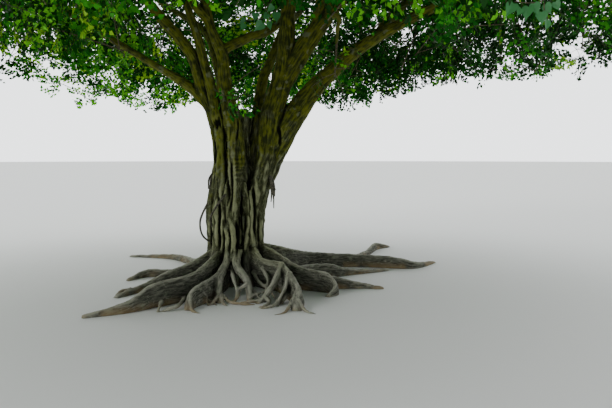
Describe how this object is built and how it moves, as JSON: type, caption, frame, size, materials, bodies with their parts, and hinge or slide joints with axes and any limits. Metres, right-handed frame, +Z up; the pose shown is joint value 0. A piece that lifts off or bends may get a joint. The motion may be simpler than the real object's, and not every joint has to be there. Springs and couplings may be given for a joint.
{
  "type": "banyan tree",
  "caption": "Banyan tree with a trunk of fused stems on spreading surface roots, forking boughs and a wide umbrella crown of leaves; for planting out gardens and parks.",
  "frame": {"origin": "middle of the flat cut under the trunk, on level ground", "axes": "+Z up; +X to the right and +Y away from the viewer in the picture"},
  "size_m": [11.4012, 10.2242, 8.9823],
  "materials": {
    "trunk_bark": "rough grey-brown bark, fluted and creased",
    "root_bark": "smooth weathered bark with pale ridges and tan feet",
    "bough_bark": "bark under a film of olive moss",
    "foliage": "glossy leaves on fine brown twigs, deep to yellow green"
  },
  "bodies": {
    "root": {"aerial_root_diagonal": "root_bark", "aerial_root_loop": "root_bark", "aerial_root_tuft": "root_bark", "bough_back_left": "bough_bark", "bough_back_right": "bough_bark", "bough_crossing": "bough_bark", "bough_front": "bough_bark", "bough_front_left": "bough_bark", "bough_front_right": "bough_bark", "bough_hanging": "bough_bark", "bough_left_forward": "bough_bark", "bough_left_high": "bough_bark", "bough_left_inner": "bough_bark", "bough_left_low": "bough_bark", "bough_mossy": "bough_bark", "bough_mossy_fork": "bough_bark", "bough_right_back": "bough_bark", "bough_right_diagonal": "bough_bark", "bough_right_forward": "bough_bark", "bough_right_low": "bough_bark", "bough_upright": "bough_bark", "foliage_fork_shoots": "foliage", "foliage_hanging_spray": "foliage", "foliage_low_back": "foliage", "foliage_low_front": "foliage", "foliage_low_front_left": "foliage", "foliage_low_front_right": "foliage", "foliage_low_left": "foliage", "foliage_low_left_back": "foliage", "foliage_low_left_front": "foliage", "foliage_low_right": "foliage", "foliage_low_right_back": "foliage", "foliage_middle_back": "foliage", "foliage_middle_front": "foliage", "foliage_middle_front_right": "foliage", "foliage_middle_left": "foliage", "foliage_middle_left_back": "foliage", "foliage_middle_right": "foliage", "foliage_top_left": "foliage", "foliage_top_right": "foliage", "root_back": "root_bark", "root_back_left": "root_bark", "root_back_left_long": "root_bark", "root_back_right": "root_bark", "root_front_left_long": "root_bark", "root_front_left_short": "root_bark", "root_front_right": "root_bark", "root_left_arch": "root_bark", "root_left_upper": "root_bark", "root_prop_left": "root_bark", "root_prop_middle": "root_bark", "root_prop_outer": "root_bark", "root_prop_right": "root_bark", "root_right_arch": "root_bark", "root_right_long": "root_bark", "root_right_middle": "root_bark", "root_right_outer": "root_bark", "root_right_spur": "root_bark", "trunk": "trunk_bark"}
  },
  "joints": []
}
